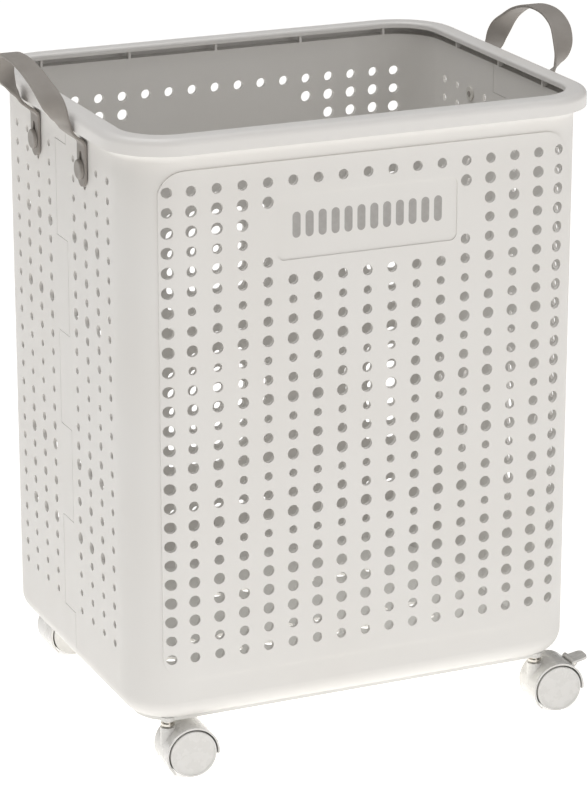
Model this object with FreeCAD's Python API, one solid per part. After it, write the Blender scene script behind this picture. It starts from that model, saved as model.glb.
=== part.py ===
import FreeCAD, Part
import math
import os

# Linen trolley: a tall perforated basket made of two identical half shells, a clip-on rim
# and a base tray, with two flexible strap handles, on four hooded twin-wheel castors.
# Millimetres, +Z up. The origin is on the floor under the middle of the basket; the front
# is at -Y, and the handles are on the two narrow sides.

V = FreeCAD.Vector

# --- basket: overall sizes -------------------------------------------------------------
WIDTH = 394.6            # over the side walls, along X
DEPTH = 313.6            # over the front and rear walls, along Y
CORNER_R = 42.0          # upright corners, outer face
WALL = 2.6               # moulded wall
BODY_HEIGHT = 472.5      # half shells, from the underside to the top of their flange
UNDERSIDE_GAP = 9.0      # top of the wheels to the underside
FOOT_R = 18.0            # rounding between wall and underside
FLANGE_T = 2.8
COVE_EDGE = 1.1          # flat left outside the hollow rounding under the flange
OPENING_INSET = 12.0     # underside opening, in from the wall face

# --- raised pad with the holes ----------------------------------------------------------
PAD_PROUD = 1.2
PAD_INSET = 22.5         # pad edge to the side wall face
PAD_BELOW_TOP = 16.5
PAD_ABOVE_BOTTOM = 37.5
PAD_R = 20.0
ROW_PITCH = 16.0
COLUMN_PITCH = 21.33
END_COLUMN_PITCH = 19.2
TOP_ROW_DROP = 32.5      # first row below the top of the shell
ROW_MARGIN = 18.0        # least distance from the last row to the pad's lower edge
COLUMN_MARGIN = 6.0
LARGE_HOLE = 9.6
MEDIUM_HOLE = 8.4
SMALL_HOLE = 7.0

# --- side walls --------------------------------------------------------------------------
SIDE_FIRST = 28.2        # first column from the middle of the side wall
SIDE_PITCH = 25.8
SIDE_END_PITCH = 24.6
SIDE_HOLES = (6.0, 6.0, 7.0, 7.5, 10.0, 7.0, 8.0, 7.0, 10.0, 7.0, 6.0, 6.0)
SIDE_END_HOLE = 6.4
SEAM_BAND = 80.0         # height of one lapped tab
SEAM_REACH = 12.0        # tab reach past the middle of the side wall
SEAM_GAP = 0.5

# --- label recess ------------------------------------------------------------------------
LABEL_W = 155.0
LABEL_H = 52.0
LABEL_DROP = 44.5        # top of the recess below the top of the shell
LABEL_R = 6.0
LABEL_DEEP = 0.8
LABEL_CLEAR = 8.0        # holes keep this far off its ends
LABEL_CLEAR_ABOVE = 2.0  # and this far off its long edges
LABEL_END_OVERLAP = 6.0  # past its ends, holes come this far inside its height

# --- rim frame ---------------------------------------------------------------------------
RIM_RISE = 11.5          # top of the rim above the half shells
RIM_HEIGHT = 13.5
RIM_ROUND = 0.42         # outer rounding, as a share of the height
RIM_OUT = 10.5           # reach beyond the wall face
RIM_IN = 7.0             # inner lip face, in from the wall face
RIM_WALL = 2.3
RIM_LIP = 5.0            # depth of the inner lip
RIM_RIB_PITCH = 79.0
RIM_RIB_T = 2.0
RIM_LIP_ROUND = 2.2
RIM_GAP = 0.3            # rim to flange, and ribs to shell

# --- base tray ---------------------------------------------------------------------------
TRAY_BELOW = 2.0         # how far the tray hangs below the shells
TRAY_WALL = 2.5
TRAY_GAP = 0.4
TRAY_FLANGE_INSET = 9.6  # edge of the flange over the shells' inner edge, in from the wall face
TRAY_HOLE = 10.0
TRAY_HOLE_PITCH = 30.0
BOSS_R = 9.5

# --- handles -----------------------------------------------------------------------------
STRAP_W = 18.0
STRAP_T = 2.6
STUD_DROP = 34.5         # stud axis below the top of the shell
STUD_SHANK_R = 2.3
STUD_HOLE_R = 2.4
STUD_HEAD_R = 8.0
STUD_HEAD_T = 2.8
STUD_GAP = 0.35          # strap to wall and strap to stud head
WASHER_R = 6.0
WASHER_T = 1.5
STUD_TIP = 0.6           # shank past the washer
SLOT_R = 2.6
SLOT_TRAVEL = 12.0
PAD_BELOW_STUD = 14.0
STRAP_TO_RIM = 1.7       # gap between the rim and the strap outside it
STRAP_BEND = 4.0         # length left free between the fixed end and the loop, where it bends
# The strap's centre line from the pad out past the rim: share of the way out from the wall
# face to the line outside the rim, and height above the rim's lower edge.
NECK_LINE = ((0.122, -12.0), (0.24, -9.8), (0.70, -4.8), (0.97, -0.5), (1.0, 6.0))
# The loop's centre line from one end to its top: distance past the neck's line, share of the
# way from the strap's end to the middle, and height above the loop's lower end.
LOOP_LINE = ((0.6, 0.0, 0.0), (2.9, -0.03, 5.5), (8.4, -0.03, 14.0), (16.5, 0.13, 26.5),
             (23.5, 0.47, 37.5), (26.5, 1.0, 42.5))
LOOP_TURN = 28.0         # length of each leg, from its end, over which the ribbon turns
LOOP_STEPS = 32

# --- castors -----------------------------------------------------------------------------
WHEEL_R = 20.0
TRAIL = 16.3             # swivel axis to wheel axis
STEM_FROM_SIDE = 31.0    # swivel axis in from the side wall face
STEM_FROM_FRONT = 17.8   # swivel axis in from the front wall face
STEM_R = 4.0
SPIGOT_R = 3.5
RUN_FIT = 0.05           # radial clearance of turning fits
SOCKET_R = 6.0
SOCKET_BELOW = 2.7       # collar below the shells
SOCKET_SEAT_UP = 1.0     # collar's shoulder above the shells' underside
SOCKET_UP = 17.0         # sleeve's top above the shells' underside
SOCKET_CLEAR = 0.4       # notch in the shells round the socket
SLEEVE_R = 5.3
RING_R = 5.6
RING_UP = 1.7            # ring above the hood's neck
RING_T = 1.8
NECK_UP = 0.7            # top of the hood's neck above the top of the wheels
NECK_SINK = 0.2          # spigot's shoulder above the neck
SPIGOT_START = 4.0       # foot of the spigot above the wheel axis
HOOD_GAP = 1.0           # wheel tread to hood
HOOD_WALL = 1.6
HOOD_HALF = 16.4         # half width of the hood
WEB_HALF = 4.7
NECK_R = 6.2
WHEEL_IN = 5.0           # inner face of each wheel from the middle
WHEEL_OUT = 17.0         # outer face
DISC_T = 1.9
TYRE_T = 2.2
TREAD_ROUND = 0.6
DISC_INSET = 0.3         # disc smaller than the tread
DISC_ROUND = 0.7
DISC_LIP = 1.9           # width of the disc's raised lip
DISC_DISH = 0.35         # depth inside the lip
DRUM_T = 1.8
WHEEL_GAP = 0.4          # hub stands this far proud of tread and drum, towards the web
HUB_R = 5.0
AXLE_R = 2.0
AXLE_END_GAP = 0.2       # axle's end to the disc
HOOD_CUT_LEFT = 225.0    # degrees round the wheel axis where the hood ends
HOOD_CUT_RIGHT = -5.0
LEVER_HALF = 8.0
LEVER_PIVOT_OUT = 4.6    # brake pivot outside the tread
LEVER_PIVOT_AT = 48.0    # degrees round the wheel axis
LEVER_RISE = 12.0        # degrees, slope of the foot tab
LEVER_PIN_R = 1.0
LEVER_BARREL_R = 1.9
LEVER_REACH = 14.0
LEVER_T = 2.2
LEVER_CORNER = 0.55      # rounding of the tab's corners, as a share of its half width
NOSE_R = 1.6
NOSE_ARM = 3.2
NOSE_GAP = 0.6           # nose to tread with the brake off
EAR_T = 1.8
EAR_GAP = 0.4            # lever to ears and to its slot in the hood
CASTORS = (              # name, side, front or rear, yaw in degrees, has a brake
    ("front_left", -1, -1, -2.7, False),
    ("front_right", 1, -1, -3.9, True),
    ("rear_left", -1, 1, 2.0, True),
    ("rear_right", 1, 1, -6.0, False),
)

PARTS_DIR = "parts"
os.makedirs(PARTS_DIR, exist_ok=True)
PAST = 5.0               # cutters run this far past the face that they cut

SHELL_BOTTOM = 2 * WHEEL_R + UNDERSIDE_GAP
SHELL_TOP = SHELL_BOTTOM + BODY_HEIGHT
FLANGE_OUT = RIM_OUT - RIM_WALL - RIM_GAP
COVE_R = FLANGE_OUT - COVE_EDGE
RIM_TOP = SHELL_TOP + RIM_RISE
RIM_BOTTOM = RIM_TOP - RIM_HEIGHT
PAD_BOTTOM = SHELL_BOTTOM + PAD_ABOVE_BOTTOM
PAD_TOP = SHELL_TOP - PAD_BELOW_TOP
PAD_HALF = WIDTH / 2 - PAD_INSET
TOP_ROW = SHELL_TOP - TOP_ROW_DROP
ROWS = int((TOP_ROW - PAD_BOTTOM - ROW_MARGIN) / ROW_PITCH) + 1
MID_Z = TOP_ROW - ROW_PITCH * (ROWS - 1) / 2
STUD_Z = SHELL_TOP - STUD_DROP
STUD_Y = SIDE_FIRST + SIDE_PITCH
LABEL_Z = SHELL_TOP - LABEL_DROP - LABEL_H / 2
TRAY_BOTTOM = SHELL_BOTTOM - TRAY_BELOW
INNER_FOOT_R = FOOT_R - WALL
FLANGE_REACH = TRAY_FLANGE_INSET - WALL
TRAY_FLANGE_Z = (SHELL_BOTTOM + FOOT_R + TRAY_GAP
                 - math.sqrt(INNER_FOOT_R ** 2 - (INNER_FOOT_R - FLANGE_REACH) ** 2))
NECK_OUT = RIM_OUT + STRAP_TO_RIM + STRAP_T / 2
LOOP_BOTTOM = RIM_BOTTOM + NECK_LINE[-1][1] + STRAP_BEND
SOCKET_BOTTOM = SHELL_BOTTOM - SOCKET_BELOW
SOCKET_SEAT = SHELL_BOTTOM + SOCKET_SEAT_UP
SOCKET_TOP = SHELL_BOTTOM + SOCKET_UP
HOOD_TOP = 2 * WHEEL_R + NECK_UP
RING_BOTTOM = HOOD_TOP + RING_UP
RING_TOP = RING_BOTTOM + RING_T
LEVER_PIVOT_R = WHEEL_R + LEVER_PIVOT_OUT


def save(name, shape):
    """Write one node; a group of solids is written as a compound."""
    shape.exportStep(os.path.join(PARTS_DIR, name + ".step"))
    print(name, len(shape.Solids), "solid(s)", round(shape.Volume / 1000, 2), "cm3",
          "valid" if shape.isValid() else "NOT VALID")


def stem_place(side, end):
    return V(side * (WIDTH / 2 - STEM_FROM_SIDE), end * (DEPTH / 2 - STEM_FROM_FRONT), 0)


def cylinder(radius, start, end):
    axis = end - start
    return Part.makeCylinder(radius, axis.Length, start, axis)


def rounded_wire(half_x, half_y, radius, z):
    """Rounded rectangle in the plane of height z."""
    k = radius * (1 - math.sqrt(0.5))
    edges = []
    corners = ((1, 1), (-1, 1), (-1, -1), (1, -1))
    for i, (sx, sy) in enumerate(corners):
        along_x = V(sx * (half_x - radius), sy * half_y, z)
        along_y = V(sx * half_x, sy * (half_y - radius), z)
        middle = V(sx * (half_x - k), sy * (half_y - k), z)
        first, last = (along_y, along_x) if i % 2 == 0 else (along_x, along_y)
        if edges:
            edges.append(Part.makeLine(edges[-1].lastVertex().Point, first))
        edges.append(Part.Arc(first, middle, last).toShape())
    edges.append(Part.makeLine(edges[-1].lastVertex().Point, edges[0].firstVertex().Point))
    return Part.Wire(edges)


def prism(offset, z0, z1):
    """Upright prism of the basket's outline, moved out by offset."""
    wire = rounded_wire(WIDTH / 2 + offset, DEPTH / 2 + offset, CORNER_R + offset, z0)
    return Part.Face(wire).extrude(V(0, 0, z1 - z0))


def level_edges(shape, z):
    """Edges that lie wholly at one height."""
    return [e for e in shape.Edges
            if abs(e.BoundBox.ZMin - z) < 1e-4 and abs(e.BoundBox.ZMax - z) < 1e-4]


def front_plate(half_x, z0, z1, radius, y0, y1):
    """Rounded rectangle that faces the front, between two depths."""
    wire = rounded_wire(half_x, (z1 - z0) / 2, radius, 0)
    plate = Part.Face(wire).extrude(V(0, 0, y1 - y0))
    plate.rotate(V(0, 0, 0), V(1, 0, 0), 90)
    plate.translate(V(0, y1, (z0 + z1) / 2))
    return plate


# --- half shells -------------------------------------------------------------------------
def shell_tube():
    """The whole basket wall before it is split: wall, flange with its cove, rounded foot."""
    outer = prism(0, SHELL_BOTTOM, SHELL_TOP)
    outer = outer.makeFillet(FOOT_R, level_edges(outer, SHELL_BOTTOM))
    outer = outer.fuse(prism(FLANGE_OUT, SHELL_TOP - FLANGE_T, SHELL_TOP)).removeSplitter()
    inside_corner = [e for e in level_edges(outer, SHELL_TOP - FLANGE_T)
                     if abs(e.BoundBox.XMax) <= WIDTH / 2 + 0.01 and abs(e.BoundBox.XMin)
                     <= WIDTH / 2 + 0.01 and e.BoundBox.YMax <= DEPTH / 2 + 0.01
                     and e.BoundBox.YMin >= -DEPTH / 2 - 0.01]
    outer = outer.makeFillet(COVE_R, inside_corner)
    pad = prism(PAD_PROUD, PAD_BOTTOM, PAD_TOP)
    window = front_plate(PAD_HALF, PAD_BOTTOM, PAD_TOP, PAD_R, -DEPTH, -DEPTH / 2 + CORNER_R / 3)
    outer = outer.fuse(pad.common(window))
    inner = prism(-WALL, SHELL_BOTTOM + WALL, SHELL_TOP + PAST)
    inner = inner.makeFillet(INNER_FOOT_R, level_edges(inner, SHELL_BOTTOM + WALL))
    opening = prism(-OPENING_INSET, SHELL_BOTTOM - PAST, SHELL_BOTTOM + FOOT_R)
    label_face = -DEPTH / 2 - PAD_PROUD
    label = front_plate(LABEL_W / 2, LABEL_Z - LABEL_H / 2, LABEL_Z + LABEL_H / 2, LABEL_R,
                        label_face - PAST, label_face + LABEL_DEEP)
    notches = [cylinder(SOCKET_R + SOCKET_CLEAR, stem_place(side, end) + V(0, 0, SHELL_BOTTOM - PAST),
                        stem_place(side, end) + V(0, 0, SHELL_BOTTOM + FOOT_R))
               for _, side, end, _, _ in CASTORS]
    return outer.cut([inner, opening, label] + notches)


def seam_region(side):
    """The space of the front half on one side. It ends at the crenellated seam, where tabs of
    the front and of the rear half reach past the middle by turns, a gap apart all round."""
    bottom, top = SHELL_BOTTOM - PAST, SHELL_TOP + PAST
    first = math.ceil((bottom - MID_Z) / SEAM_BAND - 0.5)
    last = math.floor((top - MID_Z) / SEAM_BAND + 0.5)
    points = [V(0, -DEPTH, bottom)]
    for band in range(first, last + 1):
        reaches = side * (-1) ** band < 0
        shrink = SEAM_GAP / 2 if reaches else -SEAM_GAP / 2
        lower = max(bottom, MID_Z + (band - 0.5) * SEAM_BAND + shrink)
        upper = min(top, MID_Z + (band + 0.5) * SEAM_BAND - shrink)
        y = (SEAM_REACH if reaches else -SEAM_REACH) - SEAM_GAP / 2
        points += [V(0, y, lower), V(0, y, upper)]
    points += [V(0, -DEPTH, top), points[0]]
    face = Part.Face(Part.makePolygon(points))
    return face.extrude(V(side * WIDTH, 0, 0))


def row_height(row):
    return TOP_ROW - row * ROW_PITCH


def front_hole(row, is_end_column):
    """Hole diameter: larger rows at top and bottom, small, medium and large by turns between."""
    from_bottom = ROWS - 1 - row
    if is_end_column:
        return MEDIUM_HOLE if row < 2 or from_bottom < 2 else LARGE_HOLE
    if row < 6:
        return LARGE_HOLE if row in (1, 2) else MEDIUM_HOLE
    if from_bottom < 4:
        return LARGE_HOLE if from_bottom > 1 else MEDIUM_HOLE
    return (SMALL_HOLE, MEDIUM_HOLE, LARGE_HOLE)[(row - 6) % 3]


def front_holes():
    """Hole cutters of the front wall, drawn straight through towards the back."""
    inner = int((PAD_HALF - END_COLUMN_PITCH - COLUMN_MARGIN) / COLUMN_PITCH)
    columns = [i * COLUMN_PITCH for i in range(-inner, inner + 1)]
    end = inner * COLUMN_PITCH + END_COLUMN_PITCH
    cutters = []
    for x in columns + [-end, end]:
        for row in range(ROWS):
            z = row_height(row)
            reach = LABEL_CLEAR_ABOVE if abs(x) < LABEL_W / 2 else -LABEL_END_OVERLAP
            over_label = (abs(x) < LABEL_W / 2 + LABEL_CLEAR
                          and abs(z - LABEL_Z) < LABEL_H / 2 + reach)
            if over_label:
                continue
            radius = front_hole(row, abs(x) == end) / 2
            start = V(x, -DEPTH / 2 - PAST, z)
            cutters.append(cylinder(radius, start, start + V(0, CORNER_R / 2, 0)))
    return cutters


def side_hole(row, is_end_column):
    if is_end_column:
        return SIDE_END_HOLE
    return SIDE_HOLES[min(abs(row - (ROWS - 1) // 2), len(SIDE_HOLES) - 1)]


def side_holes():
    """Hole cutters of the front half of both side walls, and the bores for the studs."""
    room = DEPTH / 2 - CORNER_R - SIDE_END_HOLE - SIDE_FIRST - SIDE_END_PITCH
    inner = int(room / SIDE_PITCH) + 1
    columns = [SIDE_FIRST + i * SIDE_PITCH for i in range(inner)]
    end = columns[-1] + SIDE_END_PITCH
    cutters = []
    for side in (-1, 1):
        through = V(side * (WALL + 2 * PAST), 0, 0)
        for y in columns + [end]:
            for row in range(ROWS):
                z = row_height(row)
                if abs(y - STUD_Y) < 1 and abs(z - STUD_Z) < ROW_PITCH / 2:
                    continue
                start = V(side * (WIDTH / 2 + PAST), -y, z)
                radius = side_hole(row, y == end) / 2
                cutters.append(cylinder(radius, start, start - through))
        start = V(side * (WIDTH / 2 + PAST), -STUD_Y, STUD_Z)
        cutters.append(cylinder(STUD_HOLE_R, start, start - through))
    return cutters


tube = shell_tube()
front_shell = tube.common(seam_region(-1).fuse(seam_region(1)))
front_shell = front_shell.cut(Part.makeCompound(front_holes()))
front_shell = front_shell.cut(Part.makeCompound(side_holes()))
front_shell = front_shell.Solids[0]
save("front_shell", front_shell)

rear_shell = front_shell.copy()
rear_shell.rotate(V(0, 0, 0), V(0, 0, 1), 180)
save("rear_shell", rear_shell)


# --- rim frame ---------------------------------------------------------------------------
def rim_ribs():
    """Small upright ribs that bridge the gap between the rim's lip and the shells."""
    ribs = []
    height = RIM_TOP - RIM_WALL - SHELL_TOP - RIM_GAP
    reach = RIM_IN - RIM_WALL
    for half_run, half_width, turned in ((WIDTH / 2, DEPTH / 2, False), (DEPTH / 2, WIDTH / 2, True)):
        count = int((half_run - CORNER_R) / RIM_RIB_PITCH + 0.5)
        for i in range(-count, count + 1):
            for side in (-1, 1):
                rib = Part.makeBox(RIM_RIB_T, reach, height,
                                   V(i * RIM_RIB_PITCH - RIM_RIB_T / 2, -half_width, SHELL_TOP + RIM_GAP))
                rib.rotate(V(0, 0, 0), V(0, 0, 1), (90 if turned else 0) + (180 if side > 0 else 0))
                ribs.append(rib)
    return ribs


def rim_frame():
    """Rounded bead with a channel under it that drops over the shells' flange."""
    bead = prism(RIM_OUT, RIM_BOTTOM, RIM_TOP)
    bead = bead.makeFillet(RIM_HEIGHT * RIM_ROUND, level_edges(bead, RIM_TOP))
    bead = bead.cut(prism(-RIM_IN, RIM_BOTTOM - PAST, RIM_TOP + PAST))
    inner_edges = [e for e in level_edges(bead, RIM_TOP) if e.BoundBox.XMax < WIDTH / 2 and e.BoundBox.YMax
                   < DEPTH / 2]
    bead = bead.makeFillet(RIM_LIP_ROUND, inner_edges)
    channel = prism(RIM_OUT - RIM_WALL, RIM_BOTTOM - PAST, RIM_TOP - RIM_WALL)
    channel = channel.makeFillet(RIM_HEIGHT * RIM_ROUND - RIM_WALL,
                                 level_edges(channel, RIM_TOP - RIM_WALL))
    channel = channel.cut(prism(-RIM_IN + RIM_WALL, RIM_BOTTOM - 2 * PAST, RIM_TOP))
    below_lip = prism(-RIM_IN + RIM_WALL + RIM_GAP, RIM_BOTTOM - PAST, RIM_TOP - RIM_LIP)
    return bead.cut([channel, below_lip]).fuse(rim_ribs()).removeSplitter()


save("rim_frame", rim_frame())


# --- base tray ---------------------------------------------------------------------------
def base_tray():
    """Shallow pan: floor, skirt and a flange that sits over the shells' inner edge."""
    skirt = OPENING_INSET + TRAY_GAP
    floor_top = TRAY_BOTTOM + TRAY_WALL
    tray = prism(-skirt, TRAY_BOTTOM, TRAY_FLANGE_Z + TRAY_WALL)
    tray = tray.fuse(prism(-TRAY_FLANGE_INSET, TRAY_FLANGE_Z, TRAY_FLANGE_Z + TRAY_WALL))
    tray = tray.cut(prism(-skirt - TRAY_WALL, floor_top, TRAY_FLANGE_Z + TRAY_WALL + PAST))
    cutters = []
    for _, side, end, _, _ in CASTORS:
        foot = stem_place(side, end)
        boss = cylinder(BOSS_R, foot + V(0, 0, TRAY_BOTTOM + TRAY_WALL / 2), foot + V(0, 0, SOCKET_TOP))
        tray = tray.fuse(boss.common(prism(-skirt, TRAY_BOTTOM, SOCKET_TOP)))
        cutters.append(cylinder(SOCKET_R, foot + V(0, 0, TRAY_BOTTOM - PAST), foot + V(0, 0, SOCKET_SEAT)))
        cutters.append(cylinder(SLEEVE_R, foot + V(0, 0, TRAY_BOTTOM), foot + V(0, 0, SOCKET_TOP + PAST)))
    half_x = WIDTH / 2 - skirt - CORNER_R
    half_y = DEPTH / 2 - skirt - CORNER_R
    nx, ny = int(half_x / TRAY_HOLE_PITCH), int(half_y / TRAY_HOLE_PITCH)
    for i in range(-nx, nx + 1):
        for j in range(-ny, ny + 1):
            low = V(i * TRAY_HOLE_PITCH, j * TRAY_HOLE_PITCH, TRAY_BOTTOM - PAST)
            cutters.append(cylinder(TRAY_HOLE / 2, low, low + V(0, 0, TRAY_WALL + 2 * PAST)))
    return tray.cut(cutters)


save("base_tray", base_tray())


# --- handles -----------------------------------------------------------------------------
def place_side(shape, side):
    """Shapes are drawn for the right-hand side; the left one is their mirror image."""
    return shape if side > 0 else shape.mirror(V(0, 0, 0), V(1, 0, 0))


def handle_studs():
    """Mushroom studs through the side walls, with a domed head outside the strap."""
    head_in = WIDTH / 2 + STRAP_T + 2 * STUD_GAP
    studs = []
    for side in (-1, 1):
        for y in (-STUD_Y, STUD_Y):
            tip = V(WIDTH / 2 - WALL - WASHER_T - STUD_TIP, y, STUD_Z)
            shank = cylinder(STUD_SHANK_R, tip, V(head_in + STUD_HEAD_T / 4, y, STUD_Z))
            head = cylinder(STUD_HEAD_R, V(head_in, y, STUD_Z), V(head_in + STUD_HEAD_T, y, STUD_Z))
            outer_edge = [e for e in head.Edges if abs(e.BoundBox.XMin - head_in - STUD_HEAD_T) < 1e-4]
            head = head.makeFillet(STUD_HEAD_T * 0.45, outer_edge)
            studs.append(place_side(head.fuse(shank), side))
    return Part.makeCompound(studs)


def stud_washers():
    """Snap rings on the studs, inside the wall."""
    washers = []
    for side in (-1, 1):
        for y in (-STUD_Y, STUD_Y):
            outer = V(WIDTH / 2 - WALL, y, STUD_Z)
            ring = cylinder(WASHER_R, outer - V(WASHER_T, 0, 0), outer)
            bore = cylinder(STUD_SHANK_R, outer - V(WASHER_T + PAST, 0, 0), outer + V(PAST, 0, 0))
            washers.append(place_side(ring.cut(bore), side))
    return Part.makeCompound(washers)


save("handle_studs", handle_studs())
save("stud_washers", stud_washers())


def strap_end(side, y):
    """One end of a strap: pill-shaped pad with a slot for the stud, and the neck that bends
    out past the rim. The neck is the line's profile, thickened and carried across the width."""
    base = WIDTH / 2
    pad_low = STUD_Z - PAD_BELOW_STUD
    line = [(base + STUD_GAP + STRAP_T / 2, pad_low)]
    line += [(base + share * NECK_OUT, RIM_BOTTOM + up) for share, up in NECK_LINE]
    left, right = [], []
    for i, (x, z) in enumerate(line):
        before = line[max(i - 1, 0)]
        after = line[min(i + 1, len(line) - 1)]
        run = math.hypot(after[0] - before[0], after[1] - before[1])
        nx, nz = (after[1] - before[1]) / run, -(after[0] - before[0]) / run
        left.append(V(x - nx * STRAP_T / 2, 0, z - nz * STRAP_T / 2))
        right.append(V(x + nx * STRAP_T / 2, 0, z + nz * STRAP_T / 2))
    outline = Part.makePolygon(left + right[::-1] + [left[0]])
    body = Part.Face(outline).extrude(V(0, STRAP_W, 0))
    body.translate(V(0, y - STRAP_W / 2, 0))
    deep = 2 * NECK_OUT + PAST
    far = V(base - PAST, y, pad_low + STRAP_W / 2)
    pill = cylinder(STRAP_W / 2, far, far + V(deep, 0, 0))
    pill = pill.fuse(Part.makeBox(deep, STRAP_W, SHELL_TOP, far - V(0, STRAP_W / 2, 0)))
    slot_low = V(base - PAST, y, STUD_Z)
    through = V(2 * PAST, 0, 0)
    rise = V(0, 0, SLOT_TRAVEL)
    slot = cylinder(SLOT_R, slot_low, slot_low + through)
    slot = slot.fuse(cylinder(SLOT_R, slot_low + rise, slot_low + rise + through))
    slot = slot.fuse(Part.makeBox(2 * PAST, 2 * SLOT_R, SLOT_TRAVEL, slot_low - V(0, SLOT_R, 0)))
    return place_side(body.common(pill).cut(slot), side)


def loop_curve():
    """Smooth centre line of the right-hand loop, from its front end over the top to its rear."""
    base = WIDTH / 2 + NECK_OUT
    front = [V(base + out, -STUD_Y * (1 - share), LOOP_BOTTOM + up) for out, share, up in LOOP_LINE]
    rear = [V(p.x, -p.y, p.z) for p in front[-2::-1]]
    curve = Part.BSplineCurve()
    curve.interpolate(front + rear)
    return curve


def strap_loop(side):
    """Ribbon round the loop: it faces the side wall at its ends, turns a quarter in its legs
    and goes over the top with its width pointing out from the wall."""
    curve = loop_curve()
    length = curve.length()
    solids = []
    wires = []
    for i in range(LOOP_STEPS + 1):
        share = i / LOOP_STEPS
        t = curve.parameterAtDistance(length * share, curve.FirstParameter)
        place = curve.value(t)
        along = curve.tangent(t)[0]
        turned = min(length * min(share, 1 - share) / LOOP_TURN, 1)
        turn = math.pi / 2 * turned * turned * (3 - 2 * turned)
        across = V(-math.sin(turn), math.copysign(math.cos(turn), share - 0.5), 0)
        across = (across - along * across.dot(along)).normalize()
        thick = along.cross(across).normalize()
        a, b = across * (STRAP_W / 2), thick * (STRAP_T / 2)
        corners = [place + a + b, place - a + b, place - a - b, place + a - b]
        wires.append(Part.makePolygon(corners + [corners[0]]))
    for lower, upper in zip(wires[:-1], wires[1:]):
        solids.append(Part.makeLoft([lower, upper], True, True))
    loop = solids[0]
    loop = loop.fuse(solids[1:])
    return place_side(loop, side)


for side, side_name in ((-1, "left"), (1, "right")):
    save("handle_" + side_name + "_front_end", strap_end(side, -STUD_Y))
    save("handle_" + side_name + "_rear_end", strap_end(side, STUD_Y))
    save("handle_" + side_name + "_loop", strap_loop(side))


# --- castors -----------------------------------------------------------------------------
# Each castor is drawn with its swivel axis on the Z axis and its wheels towards +X, and is
# then turned by its yaw and moved to its corner.
HOOD_IN = WHEEL_R + HOOD_GAP
HOOD_OUT = HOOD_IN + HOOD_WALL
WHEEL_AXIS = V(TRAIL, 0, WHEEL_R)


def on_wheel_circle(radius, degrees, y=0.0):
    angle = math.radians(degrees)
    return WHEEL_AXIS + V(radius * math.cos(angle), y, radius * math.sin(angle))


def across_cylinder(radius, y0, y1, centre=WHEEL_AXIS):
    return cylinder(radius, V(centre.x, y0, centre.z), V(centre.x, y1, centre.z))


def hood(has_brake):
    """Hood over the wheels, with the middle web that carries the axle and the stem."""
    cover = across_cylinder(HOOD_OUT, -HOOD_HALF, HOOD_HALF).cut(
        across_cylinder(HOOD_IN, -HOOD_HALF - PAST, HOOD_HALF + PAST))
    web = across_cylinder(HOOD_IN + HOOD_WALL / 3, -WEB_HALF, WEB_HALF)
    neck = cylinder(NECK_R, V(0, 0, WHEEL_R), V(0, 0, HOOD_TOP))
    outside = HOOD_HALF + PAST
    wheel_room = [across_cylinder(HOOD_IN, WEB_HALF, outside),
                  across_cylinder(HOOD_IN, -outside, -WEB_HALF)]
    left = on_wheel_circle(HOOD_OUT, HOOD_CUT_LEFT)
    right = on_wheel_circle(HOOD_OUT, HOOD_CUT_RIGHT)
    away = (right - left).normalize() * 2 * HOOD_OUT
    down = V(0, 0, -2 * HOOD_OUT)
    below = Part.Face(Part.makePolygon(
        [left - away, right + away, right + away + down, left - away + down, left - away]))
    below = below.extrude(V(0, 2 * outside, 0))
    below.translate(V(0, -outside, 0))
    shape = cover.fuse([web, neck]).cut(wheel_room)
    shape = shape.cut(below).fuse(across_cylinder(HUB_R, -WEB_HALF, WEB_HALF))
    if has_brake:
        pivot = on_wheel_circle(LEVER_PIVOT_R, LEVER_PIVOT_AT)
        for side in (-1, 1):
            y0 = side * (LEVER_HALF + EAR_GAP)
            ear = across_cylinder(LEVER_BARREL_R + EAR_GAP, y0, y0 + side * EAR_T, pivot)
            shape = shape.fuse(ear)
        slot_r, slot_half = NOSE_ARM + NOSE_R + EAR_GAP, LEVER_HALF + EAR_GAP
        slot = across_cylinder(slot_r, -slot_half, slot_half, pivot)
        shape = shape.cut([slot, across_cylinder(LEVER_PIN_R, -outside, outside, pivot)])
    shape = shape.cut([across_cylinder(AXLE_R, -outside, outside),
                       cylinder(SPIGOT_R, V(0, 0, WHEEL_R + SPIGOT_START), V(0, 0, HOOD_TOP + PAST))])
    return shape.removeSplitter()


def stem():
    """Steel swivel stem: thin spigot in the hood, full size above it."""
    shoulder = V(0, 0, HOOD_TOP + NECK_SINK)
    top = V(0, 0, SOCKET_TOP - STEM_R / 2)
    spigot = cylinder(SPIGOT_R, V(0, 0, WHEEL_R + SPIGOT_START), shoulder)
    return spigot.fuse(cylinder(STEM_R, shoulder, top)).removeSplitter()


def stem_ring():
    ring = cylinder(RING_R, V(0, 0, RING_BOTTOM), V(0, 0, RING_TOP))
    return ring.cut(cylinder(STEM_R, V(0, 0, RING_BOTTOM - PAST), V(0, 0, RING_TOP + PAST)))


def socket():
    """Plain sleeve in the tray's boss that the stem turns in, with a collar below."""
    body = cylinder(SOCKET_R, V(0, 0, SOCKET_BOTTOM), V(0, 0, SOCKET_SEAT))
    body = body.fuse(cylinder(SLEEVE_R, V(0, 0, SOCKET_SEAT), V(0, 0, SOCKET_TOP)))
    bore = cylinder(STEM_R + RUN_FIT, V(0, 0, SOCKET_BOTTOM - PAST), V(0, 0, SOCKET_TOP + PAST))
    return body.cut(bore)


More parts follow.
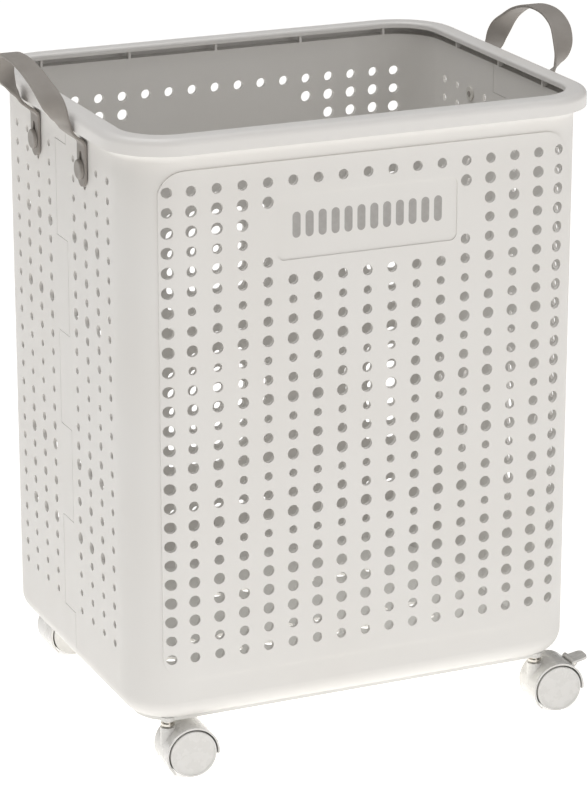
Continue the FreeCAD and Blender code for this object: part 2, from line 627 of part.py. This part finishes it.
def wheel(side):
    """Wheel core: hub, drum and outer disc in one moulding; the disc hides the axle's end."""
    disc_in = WHEEL_OUT - DISC_T
    disc_r = WHEEL_R - DISC_INSET
    disc = across_cylinder(disc_r, side * disc_in, side * WHEEL_OUT)
    face = [e for e in disc.Edges if abs(e.BoundBox.YMax - side * WHEEL_OUT) < 1e-4
            and abs(e.BoundBox.YMin - side * WHEEL_OUT) < 1e-4]
    disc = disc.makeFillet(DISC_ROUND, face)
    dish = across_cylinder(disc_r - DISC_LIP, side * (WHEEL_OUT - DISC_DISH), side * (WHEEL_OUT + PAST))
    drum_r = WHEEL_R - TYRE_T
    drum = across_cylinder(drum_r, side * (WHEEL_IN + WHEEL_GAP), side * disc_in).cut(
        across_cylinder(drum_r - DRUM_T, side * WHEEL_IN, side * disc_in))
    hub = across_cylinder(HUB_R, side * WHEEL_IN, side * disc_in)
    bore = across_cylinder(AXLE_R + RUN_FIT, side * (WHEEL_IN - PAST), side * (disc_in + AXLE_END_GAP))
    return disc.cut(dish).fuse([drum, hub]).cut(bore)


def tyre(side):
    """Soft tread ring moulded round the drum."""
    edge_in, edge_out = side * (WHEEL_IN + WHEEL_GAP), side * (WHEEL_OUT - DISC_T)
    ring = across_cylinder(WHEEL_R, edge_in, edge_out)
    rims = [e for e in ring.Edges if e.BoundBox.XLength > WHEEL_R and e.BoundBox.YLength < 1e-4]
    ring = ring.makeFillet(TREAD_ROUND, rims)
    return ring.cut(across_cylinder(WHEEL_R - TYRE_T, edge_in - side, edge_out + side))


def brake_lever():
    """Tread-brake lever: barrel on its pin, foot tab outside, nose over the treads inside."""
    pivot = on_wheel_circle(LEVER_PIVOT_R, LEVER_PIVOT_AT)
    barrel = across_cylinder(LEVER_BARREL_R, -LEVER_HALF, LEVER_HALF, pivot)
    rest_r = WHEEL_R + NOSE_GAP + NOSE_R
    cos_b = (LEVER_PIVOT_R ** 2 + NOSE_ARM ** 2 - rest_r ** 2) / (2 * LEVER_PIVOT_R * NOSE_ARM)
    swing = LEVER_PIVOT_AT + 180 + math.degrees(math.acos(cos_b))
    arm = V(math.cos(math.radians(swing)), 0, math.sin(math.radians(swing))) * NOSE_ARM
    nose_at = pivot + arm
    nose = across_cylinder(NOSE_R, -LEVER_HALF, LEVER_HALF, nose_at)
    tab = Part.makeBox(LEVER_REACH, 2 * LEVER_HALF, LEVER_T, V(0, -LEVER_HALF, -LEVER_T / 2))
    ends = [e for e in tab.Edges if abs(e.BoundBox.XMin - LEVER_REACH) < 1e-4 and e.BoundBox.ZLength > 1]
    tab = tab.makeFillet(LEVER_HALF * LEVER_CORNER, ends)
    tab.rotate(V(0, 0, 0), V(0, 1, 0), -LEVER_RISE)
    tab.translate(pivot)
    shape = barrel.fuse([nose, tab])
    bore = across_cylinder(LEVER_PIN_R + RUN_FIT, -LEVER_HALF - PAST, LEVER_HALF + PAST, pivot)
    return shape.cut(bore).removeSplitter()


def brake_pin():
    pivot = on_wheel_circle(LEVER_PIVOT_R, LEVER_PIVOT_AT)
    half = LEVER_HALF + EAR_GAP + EAR_T
    return across_cylinder(LEVER_PIN_R, -half, half, pivot)


for name, side, end, yaw, has_brake in CASTORS:
    pieces = {
        "socket": socket(),
        "stem": stem(),
        "ring": stem_ring(),
        "hood": hood(has_brake),
        "axle": across_cylinder(AXLE_R, -WHEEL_OUT + DISC_T, WHEEL_OUT - DISC_T),
        "wheel_a": wheel(-1),
        "wheel_b": wheel(1),
        "tyre_a": tyre(-1),
        "tyre_b": tyre(1),
    }
    if has_brake:
        pieces["brake_lever"] = brake_lever()
        pieces["brake_pin"] = brake_pin()
    for piece_name, shape in pieces.items():
        shape.rotate(V(0, 0, 0), V(0, 0, 1), yaw)
        shape.translate(stem_place(side, end))
        save("castor_" + name + "_" + piece_name, shape)
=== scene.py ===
import math

import bmesh
import bpy
import numpy as np
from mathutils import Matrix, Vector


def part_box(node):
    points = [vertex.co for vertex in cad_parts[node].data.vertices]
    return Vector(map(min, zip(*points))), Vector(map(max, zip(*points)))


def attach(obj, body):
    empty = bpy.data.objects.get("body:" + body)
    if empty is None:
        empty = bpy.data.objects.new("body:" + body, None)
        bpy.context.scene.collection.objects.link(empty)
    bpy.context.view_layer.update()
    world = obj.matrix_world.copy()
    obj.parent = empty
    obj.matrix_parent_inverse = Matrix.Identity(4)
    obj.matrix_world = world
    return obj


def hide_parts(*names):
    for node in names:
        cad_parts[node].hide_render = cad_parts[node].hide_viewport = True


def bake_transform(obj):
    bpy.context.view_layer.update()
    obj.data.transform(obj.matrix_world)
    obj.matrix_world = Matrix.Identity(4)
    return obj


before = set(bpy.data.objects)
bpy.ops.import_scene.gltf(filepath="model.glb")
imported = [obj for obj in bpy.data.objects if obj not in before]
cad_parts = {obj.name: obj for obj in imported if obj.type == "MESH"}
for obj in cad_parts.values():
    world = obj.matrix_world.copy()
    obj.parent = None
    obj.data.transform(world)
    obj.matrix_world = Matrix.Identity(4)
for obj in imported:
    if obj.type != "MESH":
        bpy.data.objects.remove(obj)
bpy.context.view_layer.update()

# --- the view ------------------------------------------------------------------------------
# The trolley is seen from its front left, from above its rim, with a long lens. A large soft
# key stands at the front right and another hangs overhead, so the front face is the brightest
# and the left side falls a little darker; the pale surroundings fill the rest.
eye = (-1.0867, -2.4858, 1.1559)
turn, dip = math.radians(23.72), math.radians(18.32)
scene = bpy.context.scene

camera_data = bpy.data.cameras.new("camera")
camera_data.sensor_width = 36.0
camera_data.lens = 154.93
camera = bpy.data.objects.new("camera", camera_data)
camera.location = eye
camera.rotation_euler = (math.pi / 2 - dip, 0, -turn)
scene.collection.objects.link(camera)
scene.camera = camera

scene.view_settings.view_transform = "Standard"
scene.view_settings.look = "None"
world = bpy.data.worlds.new("pale_room")
world.use_nodes = True
surroundings = world.node_tree.nodes["Background"]
surroundings.inputs["Color"].default_value = (1.0, 0.99, 0.98, 1)
surroundings.inputs["Strength"].default_value = 0.22
scene.world = world


def soft_light(name, place, target, size, watts, colour=(1, 1, 1)):
    """A square area light at place that faces target."""
    data = bpy.data.lights.new(name, "AREA")
    data.size = size
    data.energy = watts
    data.color = colour
    light = bpy.data.objects.new(name, data)
    way = np.array(target, float) - np.array(place, float)
    fall = math.atan2(-way[2], math.hypot(way[0], way[1]))
    light.location = place
    light.rotation_euler = (math.pi / 2 - fall, 0, -math.atan2(way[0], way[1]))
    scene.collection.objects.link(light)


soft_light("key", (0.9, -2.6, 1.5), (0, 0, 0.3), 1.6, 16, (1.0, 0.985, 0.97))
soft_light("top", (-0.5, 0.2, 2.6), (0, 0, 0.3), 1.8, 30)


# --- half shells ---------------------------------------------------------------------------
# The front and the rear half are the same polypropylene moulding, warm white with the fine
# satin grain of a spark-eroded mould, which is a little smoother where hands and linen rub.
class Flow:
    """A socket in a material's node tree. Arithmetic on it adds Math nodes, and node() adds
    any other node: its settings are set first, then the values or links of its sockets."""

    def __init__(self, tree, socket=None):
        self.tree = tree
        self.socket = socket

    def node(self, kind, settings, inputs, output=0):
        made = self.tree.nodes.new("ShaderNode" + kind)
        for name, value in settings.items():
            setattr(made, name, value)
        for name, value in inputs.items():
            if isinstance(value, Flow):
                self.tree.links.new(value.socket, made.inputs[name])
            else:
                made.inputs[name].default_value = value
        return Flow(self.tree, made.outputs[output])

    def __add__(self, other):
        return self.node("Math", {"operation": "ADD"}, {0: self, 1: other})

    def __mul__(self, other):
        return self.node("Math", {"operation": "MULTIPLY"}, {0: self, 1: other})

    __radd__ = __add__
    __rmul__ = __mul__

    def noise(self, place, size, detail=2.0, roughness=0.5):
        """Noise from 0 to 1 whose lumps are about size metres across."""
        return self.node("TexNoise", {}, {"Vector": place, "Scale": 1 / size, "Detail": detail,
                                          "Roughness": roughness})

    def limit(self, low, high):
        """This value carried from low..high to 0..1, and held there."""
        return self.node("MapRange", {"clamp": True},
                         {"Value": self, "From Min": low, "From Max": high})

    def mix(self, one, other):
        """Colour one where this value is 0, and the other where it is 1."""
        return self.node("Mix", {"data_type": "RGBA"}, {0: self, 6: one, 7: other}, output=2)


def new_material(name, coat=0.0, coat_roughness=0.1, specular=0.5):
    """A material with one Principled shader: its Flow, its shader node and object coordinates."""
    material = bpy.data.materials.new(name)
    material.use_nodes = True
    shader = material.node_tree.nodes["Principled BSDF"]
    shader.inputs["Coat Weight"].default_value = coat
    shader.inputs["Coat Roughness"].default_value = coat_roughness
    shader.inputs["Specular IOR Level"].default_value = specular
    flow = Flow(material.node_tree)
    place = flow.node("TexCoord", {}, {}, output=3)
    return material, flow, shader, place


def feed(flow, shader, **sockets):
    """Join flows to the shader's sockets; base_color joins Base Color, and so on."""
    for name, value in sockets.items():
        flow.tree.links.new(value.socket, shader.inputs[name.replace("_", " ").title()])


def bump(flow, height, distance):
    """The normal of a surface whose height is the flow times distance, in metres."""
    return flow.node("Bump", {}, {"Height": height, "Distance": distance})


def moulded_plastic(name, colour, rubbed, grain, grain_depth, rough_low, rough_high):
    """Moulded plastic: two near shades in broad clouds, roughness in smaller ones with fine
    hair marks, and a bump of mould grain over the slow waves of a cooled wall."""
    wave_depth, hair_roughness = 0.00012, 0.03
    material, flow, shader, place = new_material(name)
    clouds = flow.noise(place, 0.11, 3.0)
    rub = flow.noise(place, 0.018, 4.0, 0.6).limit(0.42, 0.72)
    stretched = flow.node("Mapping", {}, {"Vector": place, "Rotation": (0.3, 0.5, 0.2),
                                          "Scale": (1.0, 1.0, 0.06)})
    hairs = flow.noise(stretched, 0.0011, 1.0).limit(0.66, 0.74)
    fine = flow.noise(place, grain, 2.0, 0.7)
    waves = flow.noise(place, 0.045, 1.0)
    feed(flow, shader,
         base_color=clouds.limit(0.3, 0.7).mix(colour, rubbed),
         roughness=rub * (rough_low - rough_high) + rough_high + hairs * hair_roughness,
         normal=bump(flow, fine * grain_depth + waves * wave_depth, 1.0))
    return material


def dress(names, material):
    """Give CAD nodes a material in every slot of theirs."""
    for name in names:
        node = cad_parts[name]
        if not node.material_slots:
            node.data.materials.append(material)
        for holder in node.material_slots:
            holder.material = material


shell_white = moulded_plastic("shell_white", (0.785, 0.765, 0.735, 1), (0.80, 0.785, 0.76, 1),
                              0.0007, 0.00002, 0.40, 0.52)
dress(["front_shell", "rear_shell"], shell_white)

# --- label print ---------------------------------------------------------------------------
# The shallow recess near the top of the front carries a one-colour pad print: a plain row of
# upright bars with rounded ends, in a warm grey ink a few hundredths of a millimetre thick.
shell_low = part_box("front_shell")[0]
flange_reach, pad_rise, recess_depth = 0.0079, 0.0012, 0.0008
print_face = shell_low.y + flange_reach - pad_rise + recess_depth
print_low, print_high = 0.4420, 0.4630
print_half, bar_count, bar_share, ink = 0.0665, 12, 0.62, 0.00006


def rounded_bar(centre_x, half_x, low, high, steps=8):
    """Outline of an upright bar, anticlockwise seen from the front: a half circle on top and
    one below, each of half the bar's width."""
    angle = np.linspace(0, math.pi, steps)
    top = np.c_[centre_x + half_x * np.cos(angle), high - half_x + half_x * np.sin(angle)]
    bottom = np.c_[centre_x - half_x * np.cos(angle), low + half_x - half_x * np.sin(angle)]
    return np.r_[top, bottom]


def mesh_object(name, points, faces, smooth=True):
    """A new object at the origin from corner points and faces."""
    mesh = bpy.data.meshes.new(name)
    mesh.from_pydata(np.asarray(points, float).tolist(), [], faces)
    mesh.validate()
    mesh.polygons.foreach_set("use_smooth", np.full(len(mesh.polygons), smooth))
    made = bpy.data.objects.new(name, mesh)
    scene.collection.objects.link(made)
    return made


bar_points, bar_faces = [], []
pitch = 2 * print_half / bar_count
for i in range(bar_count):
    centre_x = (i + 0.5) * pitch - print_half
    outline = rounded_bar(centre_x, pitch * bar_share / 2, print_low, print_high)
    count = len(outline)
    near, far = 2 * i * count, (2 * i + 1) * count
    bar_points += [(x, y, z) for y in (print_face - ink, print_face) for x, z in outline]
    bar_faces.append([near + j for j in range(count)])
    bar_faces += [[far + j, far + (j + 1) % count, near + (j + 1) % count, near + j]
                  for j in range(count)]
label_bars = mesh_object("label_bars", bar_points, bar_faces, smooth=False)
ink_grey, flow, shader, place = new_material("ink_grey", specular=0.3)
patch = flow.noise(place, 0.004, 3.0).limit(0.35, 0.7)
feed(flow, shader,
     base_color=patch.mix((0.39, 0.375, 0.36, 1), (0.43, 0.415, 0.40, 1)),
     roughness=patch * 0.12 + 0.5,
     normal=bump(flow, flow.noise(place, 0.0004), 0.00002))
label_bars.data.materials.append(ink_grey)
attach(label_bars, "basket")

# --- rim frame -----------------------------------------------------------------------------
# A separate moulding with a hollow bead that snaps over the shells' flange; it is smoother
# than the walls, because its mould is polished.
rim_white = moulded_plastic("rim_white", (0.795, 0.775, 0.75, 1), (0.81, 0.795, 0.775, 1),
                            0.0011, 0.00001, 0.30, 0.42)
dress(["rim_frame"], rim_white)

# --- base tray -----------------------------------------------------------------------------
# The pan that closes the bottom, with the bosses for the castors; its floor is duller than
# the walls and a little rubbed by the linen.
tray_white = moulded_plastic("tray_white", (0.78, 0.77, 0.74, 1), (0.82, 0.81, 0.78, 1),
                             0.0009, 0.00003, 0.42, 0.58)
dress(["base_tray"], tray_white)

# --- strap handles -------------------------------------------------------------------------
# One flexible warm-grey strap on each narrow side. Its slotted ends slide on two studs, its
# necks bend out round the rim, and between them it stands up in a loop. The flat of the strap
# faces the wall at the ends and turns a quarter over each leg.
strap_rubber, flow, shader, place = new_material("strap_rubber", specular=0.35)
clouds = flow.noise(place, 0.02, 3.0).limit(0.3, 0.7)
sweat = flow.noise(place, 0.006, 3.0, 0.6).limit(0.4, 0.7)
feed(flow, shader,
     base_color=clouds.mix((0.30, 0.275, 0.25, 1), (0.34, 0.315, 0.29, 1)),
     roughness=sweat * -0.12 + 0.58,
     normal=bump(flow, flow.noise(place, 0.0005, 2.0, 0.7), 0.00004))

end_low, end_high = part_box("handle_right_front_end")
loop_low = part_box("handle_right_loop")[0]
strap_width = end_high.y - end_low.y
strap_thick, wall_gap = 0.0026, 0.00035
leg_y = (end_low.y + end_high.y) / 2
pad_x = end_low.x + strap_thick / 2
neck_x = end_high.x - strap_thick / 2
wall_x = end_low.x - wall_gap
# Points of the centre line from the lower end of one pad to the top of the loop. On the neck:
# place across the trolley and height. On the loop: reach past the neck, how much of the way
# from the leg to the middle of the side, and height over the loop's foot.
neck_line = ((pad_x, end_low.z), (pad_x, end_low.z + 0.0335), (pad_x, end_low.z + 0.0350),
             (wall_x + 0.0038, end_low.z + 0.0377), (wall_x + 0.0093, end_low.z + 0.0419),
             (wall_x + 0.0143, end_low.z + 0.0472), (wall_x + 0.0170, end_low.z + 0.0530))
loop_line = ((0.0053, -0.01, 0.0020), (0.0094, -0.03, 0.0110), (0.0143, 0.04, 0.0215),
             (0.0187, 0.24, 0.0322), (0.0216, 0.60, 0.0402), (0.0226, 1.0, 0.0425))
turn_from, turn_to = 0.040, 0.097
flat_power, crown_power, tip_share = 0.22, 0.42, 0.04
slot_low, slot_travel, slot_radius = end_low.z + 0.014, 0.012, 0.0026


def strap_path(step=0.0006, soften=0.006):
    """The strap's centre line as even points: a cubic through the points above whose slope at
    each of them follows its neighbours, then a running mean over a short length."""
    half = [(x, leg_y, z) for x, z in neck_line]
    half += [(neck_x + out, leg_y * (1 - share), loop_low.z + up) for out, share, up in loop_line]
    half = np.array(half)
    line = np.r_[half, half[-2::-1] * (1, -1, 1)]
    knot = np.r_[0, np.cumsum(np.linalg.norm(np.diff(line, axis=0), axis=1))]
    slope = np.gradient(line, knot, axis=0)
    at = np.linspace(0, knot[-1], 4 * int(knot[-1] / step))
    i = np.clip(np.searchsorted(knot, at, "right") - 1, 0, len(knot) - 2)
    long = (knot[i + 1] - knot[i])[:, None]
    t = (at - knot[i])[:, None] / long
    fine = ((1 + 2 * t) * (1 - t) ** 2 * line[i] + t * (1 - t) ** 2 * long * slope[i]
            + t ** 2 * (3 - 2 * t) * line[i + 1] + t ** 2 * (t - 1) * long * slope[i + 1])
    run = np.r_[0, np.cumsum(np.linalg.norm(np.diff(fine, axis=0), axis=1))]
    at = np.linspace(0, run[-1], int(run[-1] / step))
    even = np.stack([np.interp(at, run, fine[:, k]) for k in range(3)], axis=1)
    reach = int(soften / step / 2)
    ahead = 2 * even[0] - even[reach:0:-1]
    behind = 2 * even[-1] - even[-2:-reach - 2:-1]
    window = np.hanning(2 * reach + 3)[1:-1]
    longer = np.r_[ahead, even, behind]
    window /= window.sum()
    return np.stack([np.convolve(longer[:, k], window, "valid") for k in range(3)], axis=1)


def strap_mesh(side, name, round_steps=40):
    """A flat section carried along the centre line. The section is a rounded rectangle, as a
    superellipse of high power, a little crowned; its width direction turns a quarter, from
    along the side to across the rim, by a smooth step over a length of each leg; and towards
    each end its width follows a half circle, which makes the pill-shaped pad."""
    path = strap_path()
    along = np.gradient(path, axis=0)
    along /= np.linalg.norm(along, axis=1)[:, None]
    run = np.r_[0, np.cumsum(np.linalg.norm(np.diff(path, axis=0), axis=1))]
    leg = np.minimum(run, run[-1] - run)
    turned = np.clip((leg - turn_from) / (turn_to - turn_from), 0, 1)
    bend = math.pi / 2 * turned ** 2 * (3 - 2 * turned)
    half = np.where(run < run[-1] / 2, -1, 1)
    across = np.stack([-np.sin(bend), half * np.cos(bend), np.zeros_like(bend)], axis=1)
    across -= along * (across * along).sum(1)[:, None]
    across /= np.linalg.norm(across, axis=1)[:, None]
    thick = np.cross(along, across)
    radius = strap_width / 2
    to_end = np.minimum(np.minimum(run, run[-1] - run), radius)
    wide = np.sqrt(np.maximum(radius ** 2 - (radius - to_end) ** 2, (radius * tip_share) ** 2))
    angle = (np.arange(round_steps) + 0.5) / round_steps * 2 * math.pi
    u = np.sign(np.cos(angle)) * np.abs(np.cos(angle)) ** flat_power
    v = np.sign(np.sin(angle)) * np.abs(np.sin(angle)) ** crown_power
    ring = (across[:, None] * (wide[:, None] * u)[..., None]
            + thick[:, None] * (strap_thick / 2 * v)[None, :, None])
    points = (path[:, None] + ring).reshape(-1, 3)
    points[:, 0] *= side
    row, j = np.meshgrid(np.arange(len(path) - 1) * round_steps, np.arange(round_steps),
                         indexing="ij")
    k = (j + 1) % round_steps
    quads = np.stack([row + j, row + k, row + round_steps + k, row + round_steps + j], -1)
    faces = quads.reshape(-1, 4)
    if side > 0:
        faces = faces[:, ::-1]
    caps = [list(range(round_steps)), list(range(len(points) - round_steps, len(points)))]
    caps[0 if side > 0 else 1].reverse()
    return mesh_object(name, points, faces.tolist() + caps)


def slot_cutter(side, y, half_depth=0.004, steps=17):
    """The slot of one pad: an upright pill, two half circles as far apart as the strap
    slides, carried right through the pad."""
    angle = np.linspace(0, math.pi, steps)
    slot_top = slot_low + slot_travel
    top = np.c_[slot_radius * np.cos(angle), slot_top + slot_radius * np.sin(angle)]
    bottom = np.c_[-slot_radius * np.cos(angle), slot_low - slot_radius * np.sin(angle)]
    outline = np.r_[top, bottom]
    count = len(outline)
    ends = (side * (pad_x - half_depth), side * (pad_x + half_depth))
    points = [(x, y + a, z) for x in ends for a, z in outline]
    faces = [[j, (j + 1) % count, count + (j + 1) % count, count + j] for j in range(count)]
    faces += [list(range(count))[::-1], list(range(count, 2 * count))]
    return mesh_object("slot_cutter", points, faces)


def cut_away(piece, cutters):
    """Subtract the cutters from the piece, and keep the result as the piece's own mesh."""
    for cutter in cutters:
        work = piece.modifiers.new("slot", "BOOLEAN")
        work.operation = "DIFFERENCE"
        work.solver = "EXACT"
        work.object = cutter
    solved = piece.evaluated_get(bpy.context.evaluated_depsgraph_get())
    cut_mesh = bpy.data.meshes.new_from_object(solved)
    piece.modifiers.clear()
    piece.data = cut_mesh
    for cutter in cutters:
        bpy.data.objects.remove(cutter)


def face_outwards(mesh):
    """Turn every face of a closed mesh outwards."""
    work = bmesh.new()
    work.from_mesh(mesh)
    bmesh.ops.recalc_face_normals(work, faces=work.faces)
    work.to_mesh(mesh)
    work.free()


# Each side's strap: built along the centre line, its two pad slots cut, and put in place of the
# CAD strap parts.
for side, side_name in ((-1, "left"), (1, "right")):
    body = "handle_" + side_name
    strap = strap_mesh(side, "strap_" + side_name)
    cutters = [slot_cutter(side, leg_y), slot_cutter(side, -leg_y)]
    for closed in (strap, *cutters):
        face_outwards(closed.data)
    cut_away(strap, cutters)
    strap.data.materials.clear()
    strap.data.materials.append(strap_rubber)
    strap.data.set_sharp_from_angle(angle=math.radians(40))
    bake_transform(strap)
    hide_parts(body + "_front_end", body + "_rear_end", body + "_loop")

# --- studs and their washers ---------------------------------------------------------------
# Mushroom studs of the strap's own grey, pressed through the side walls and held inside by
# small nylon washers.
stud_grey, flow, shader, place = new_material("stud_grey", specular=0.4)
worn = flow.noise(place, 0.005, 3.0).limit(0.35, 0.7)
feed(flow, shader,
     base_color=worn.mix((0.31, 0.285, 0.26, 1), (0.35, 0.325, 0.30, 1)),
     roughness=worn * -0.1 + 0.5,
     normal=bump(flow, flow.noise(place, 0.0006), 0.00003))
dress(["handle_studs"], stud_grey)
washer_nylon = moulded_plastic("washer_nylon", (0.70, 0.68, 0.63, 1), (0.74, 0.72, 0.68, 1),
                               0.0004, 0.00002, 0.35, 0.5)
dress(["stud_washers"], washer_nylon)

# --- castors -------------------------------------------------------------------------------
# Four hooded twin-wheel castors in polished white nylon, with grey soft treads, a bright
# plated ring and stem above the hood, and steel axles. Two have a brake lever.
castor_nylon, flow, shader, place = new_material("castor_nylon", coat=0.35, coat_roughness=0.12)
smear = flow.noise(place, 0.012, 3.0, 0.6).limit(0.35, 0.7)
feed(flow, shader,
     base_color=smear.mix((0.74, 0.73, 0.705, 1), (0.78, 0.77, 0.75, 1)),
     roughness=smear * 0.12 + 0.22,
     normal=bump(flow, flow.noise(place, 0.006, 1.0), 0.00005))
tread_rubber, flow, shader, place = new_material("tread_rubber", specular=0.3)
dust = flow.noise(place, 0.003, 4.0, 0.65).limit(0.4, 0.75)
feed(flow, shader,
     base_color=dust.mix((0.16, 0.155, 0.135, 1), (0.24, 0.23, 0.205, 1)),
     roughness=dust * 0.2 + 0.55,
     normal=bump(flow, flow.noise(place, 0.0008, 3.0), 0.0001))
plated, flow, shader, place = new_material("plated", specular=0.5)
haze = flow.noise(place, 0.002, 3.0).limit(0.4, 0.7)
shader.inputs["Metallic"].default_value = 1.0
feed(flow, shader,
     base_color=haze.mix((0.62, 0.59, 0.54, 1), (0.70, 0.68, 0.64, 1)),
     roughness=haze * 0.12 + 0.16,
     normal=bump(flow, flow.noise(place, 0.001), 0.00002))

castor_finish = {"socket": castor_nylon, "hood": castor_nylon, "wheel_a": castor_nylon,
                 "wheel_b": castor_nylon, "brake_lever": castor_nylon, "tyre_a": tread_rubber,
                 "tyre_b": tread_rubber, "stem": plated, "ring": plated, "axle": plated,
                 "brake_pin": plated}
for corner in ("front_left", "front_right", "rear_left", "rear_right"):
    for piece_name, finish in castor_finish.items():
        node_name = "castor_" + corner + "_" + piece_name
        if node_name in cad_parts:
            dress([node_name], finish)

# --- floor ---------------------------------------------------------------------------------
# A plain pale sheet that runs far behind the trolley; it glows a little, as paper does when
# it is lit from below, which leaves only a faint shadow round the wheels.
floor_side, floor_front, floor_back = 9, -6, 14
floor = mesh_object("floor", [(-floor_side, floor_front, 0), (floor_side, floor_front, 0),
                              (floor_side, floor_back, 0), (-floor_side, floor_back, 0)],
                    [[0, 1, 2, 3]], smooth=False)
floor_white, flow, shader, place = new_material("floor_white", specular=0.0)
shader.inputs["Emission Strength"].default_value = 0.76
feed(flow, shader,
     base_color=flow.noise(place, 0.5).mix((0.93, 0.93, 0.925, 1), (0.95, 0.95, 0.945, 1)),
     emission_color=flow.noise(place, 0.7).mix((1.0, 0.98, 0.955, 1), (1.0, 0.988, 0.965, 1)),
     roughness=flow.noise(place, 0.2) * 0.1 + 0.8)
floor.data.materials.append(floor_white)
